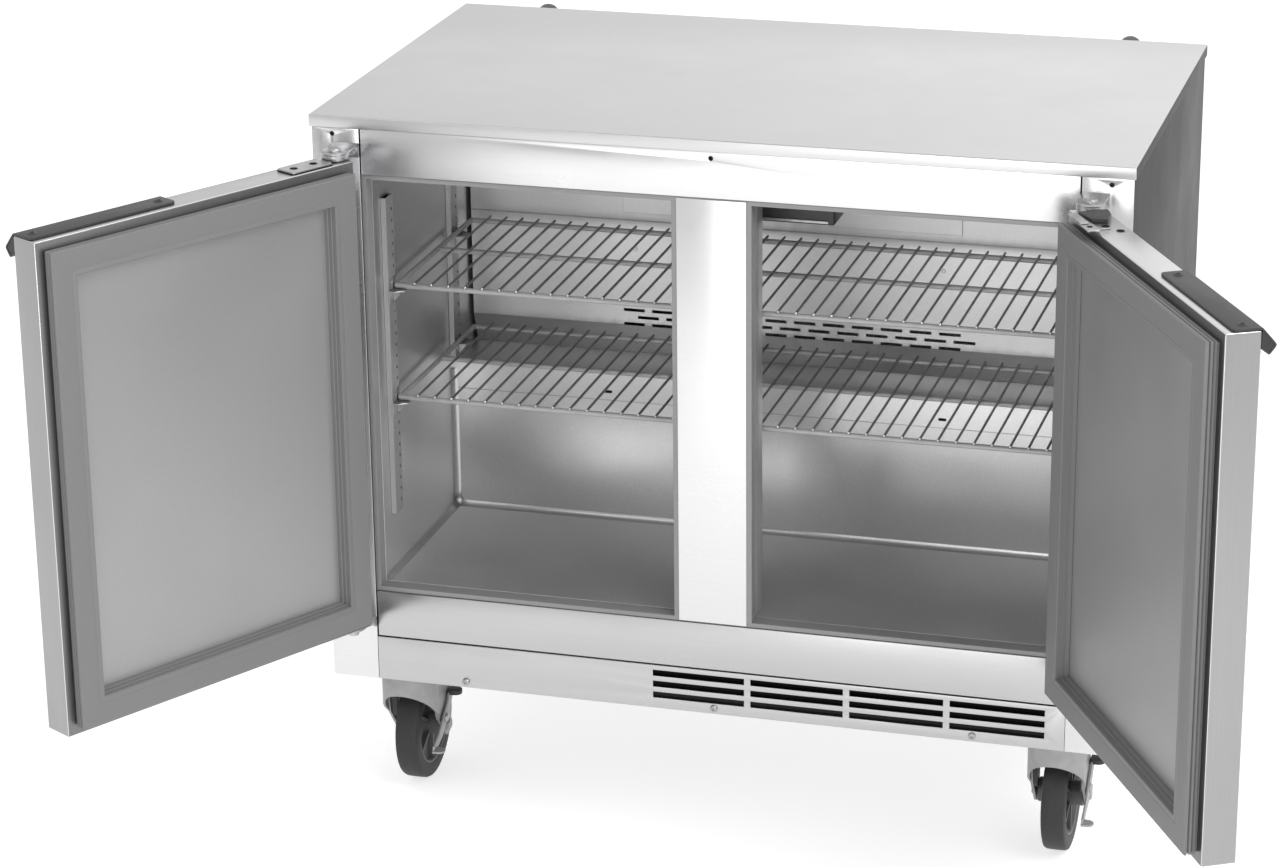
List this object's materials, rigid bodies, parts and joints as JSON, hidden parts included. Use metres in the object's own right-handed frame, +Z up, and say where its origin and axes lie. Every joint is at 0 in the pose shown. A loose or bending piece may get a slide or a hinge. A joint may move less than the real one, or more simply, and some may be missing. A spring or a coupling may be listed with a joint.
{
  "type": "undercounter refrigerator",
  "caption": "Stainless undercounter refrigerator on swivel casters, two doors standing open, wire shelves, rear evaporator cover and a louvred kick panel.",
  "frame": {"origin": "middle of the whole outline at floor level, doors open", "axes": "+X to the right seen from the front, +Y to the back, +Z up"},
  "size_m": [1.2356, 0.9434, 0.7915],
  "materials": {
    "stainless": "fine horizontal brushing",
    "liner_steel": "dull mill finish with faint speckle",
    "foam": "closed-cell polyurethane foam",
    "breaker_grey": "smooth extruded strip",
    "gasket_grey": "soft ribbed gasket",
    "door_panel_grey": "smooth formed sheet",
    "black_plastic": "fine grained",
    "black_paint": "satin enamel",
    "rubber": "smooth",
    "zinc": "zinc plated",
    "yoke_grey": "grey plated pressing",
    "wheel_rubber": "solid tread on a grey core",
    "shelf_chrome": "plated wire",
    "coil_aluminium": "fin stock"
  },
  "bodies": {
    "cabinet": {"worktop": "stainless", "side_panel_left": "stainless", "side_panel_right": "stainless", "top_rail": "stainless", "bottom_rail": "stainless", "mullion_cover": "stainless", "kick_panel": "stainless", "back_panel": "stainless", "base_pan": "stainless", "cabinet_foam": "foam", "liner": "liner_steel", "mullion_post": "liner_steel", "pilaster_front_left": "liner_steel", "pilaster_front_right": "liner_steel", "pilaster_rear_left": "liner_steel", "pilaster_rear_right": "liner_steel", "breaker_frame": "breaker_grey", "evaporator_cover": "liner_steel", "evaporator_coil": "coil_aluminium", "condenser_coil": "coil_aluminium", "evaporator_fan_motor": "black_plastic", "condenser_fan_motor": "black_plastic", "control_box": "black_plastic", "power_inlet": "black_plastic", "compressor": "black_paint", "wall_bumper_left": "rubber", "wall_bumper_right": "rubber", "shelf_upper": "shelf_chrome", "shelf_lower": "shelf_chrome", "hinge_bracket_top_left": "zinc", "hinge_bracket_bottom_left": "zinc", "hinge_bracket_top_right": "zinc", "hinge_bracket_bottom_right": "zinc", "caster_plate_front_left": "zinc", "caster_plate_front_right": "zinc", "caster_plate_rear_left": "zinc", "caster_plate_rear_right": "zinc"},
    "door_left": {"door_pan_left": "stainless", "door_panel_left": "door_panel_grey", "door_gasket_left": "gasket_grey", "door_handle_left": "black_plastic"},
    "door_right": {"door_pan_right": "stainless", "door_panel_right": "door_panel_grey", "door_gasket_right": "gasket_grey", "door_handle_right": "black_plastic"},
    "yoke_front_left": {"caster_yoke_front_left": "yoke_grey"},
    "wheel_front_left": {"caster_wheel_front_left": "wheel_rubber"},
    "yoke_front_right": {"caster_yoke_front_right": "yoke_grey"},
    "wheel_front_right": {"caster_wheel_front_right": "wheel_rubber"},
    "yoke_rear_left": {"caster_yoke_rear_left": "yoke_grey"},
    "wheel_rear_left": {"caster_wheel_rear_left": "wheel_rubber"},
    "yoke_rear_right": {"caster_yoke_rear_right": "yoke_grey"},
    "wheel_rear_right": {"caster_wheel_rear_right": "wheel_rubber"},
    "brake_front_left": {"brake_lever_front_left": "yoke_grey"},
    "brake_front_right": {"brake_lever_front_right": "yoke_grey"},
    "fan_cold": {"evaporator_fan": "black_plastic"},
    "fan_hot": {"condenser_fan": "black_plastic"},
    "knob": {"control_knob": "black_plastic"}
  },
  "joints": [
    {"name": "door_left_hinge", "type": "hinge", "parent": "cabinet", "child": "door_left", "pos_m": [-0.3943, -0.12059, 0.4925], "axis": [0, 0, 1], "range_deg": [0, 119.6]},
    {"name": "door_right_hinge", "type": "hinge", "parent": "cabinet", "child": "door_right", "pos_m": [0.3943, -0.12059, 0.4925], "axis": [0, 0, 1], "range_deg": [-119.6, 0]},
    {"name": "caster_front_left_swivel", "type": "hinge", "parent": "cabinet", "child": "yoke_front_left", "pos_m": [-0.3638, -0.03189, 0.1265], "axis": [0, 0, 1], "continuous": true},
    {"name": "caster_front_left_axle", "type": "hinge", "parent": "yoke_front_left", "child": "wheel_front_left", "pos_m": [-0.3638, 0.00811, 0.0635], "axis": [1, 0, 0], "continuous": true},
    {"name": "caster_front_right_swivel", "type": "hinge", "parent": "cabinet", "child": "yoke_front_right", "pos_m": [0.3638, -0.03189, 0.1265], "axis": [0, 0, 1], "continuous": true},
    {"name": "caster_front_right_axle", "type": "hinge", "parent": "yoke_front_right", "child": "wheel_front_right", "pos_m": [0.3638, 0.00811, 0.0635], "axis": [1, 0, 0], "continuous": true},
    {"name": "caster_rear_left_swivel", "type": "hinge", "parent": "cabinet", "child": "yoke_rear_left", "pos_m": [-0.3638, 0.34341, 0.1265], "axis": [0, 0, 1], "continuous": true},
    {"name": "caster_rear_left_axle", "type": "hinge", "parent": "yoke_rear_left", "child": "wheel_rear_left", "pos_m": [-0.3638, 0.38341, 0.0635], "axis": [1, 0, 0], "continuous": true},
    {"name": "caster_rear_right_swivel", "type": "hinge", "parent": "cabinet", "child": "yoke_rear_right", "pos_m": [0.3638, 0.34341, 0.1265], "axis": [0, 0, 1], "continuous": true},
    {"name": "caster_rear_right_axle", "type": "hinge", "parent": "yoke_rear_right", "child": "wheel_rear_right", "pos_m": [0.3638, 0.38341, 0.0635], "axis": [1, 0, 0], "continuous": true},
    {"name": "brake_front_left_pivot", "type": "hinge", "parent": "yoke_front_left", "child": "brake_front_left", "pos_m": [-0.3233, -0.00789, 0.0785], "axis": [1, 0, 0], "range_deg": [-6, 6]},
    {"name": "brake_front_right_pivot", "type": "hinge", "parent": "yoke_front_right", "child": "brake_front_right", "pos_m": [0.4043, -0.00789, 0.0785], "axis": [1, 0, 0], "range_deg": [-6, 6]},
    {"name": "fan_cold_spindle", "type": "hinge", "parent": "cabinet", "child": "fan_cold", "pos_m": [0.24, 0.26541, 0.5765], "axis": [0, 1, 0], "continuous": true},
    {"name": "fan_hot_spindle", "type": "hinge", "parent": "cabinet", "child": "fan_hot", "pos_m": [-0.24, 0.28241, 0.2575], "axis": [0, 1, 0], "continuous": true},
    {"name": "thermostat_knob", "type": "hinge", "parent": "cabinet", "child": "knob", "pos_m": [0, 0.02341, 0.6992], "axis": [0, 1, 0], "range_deg": [-135, 135]}
  ]
}
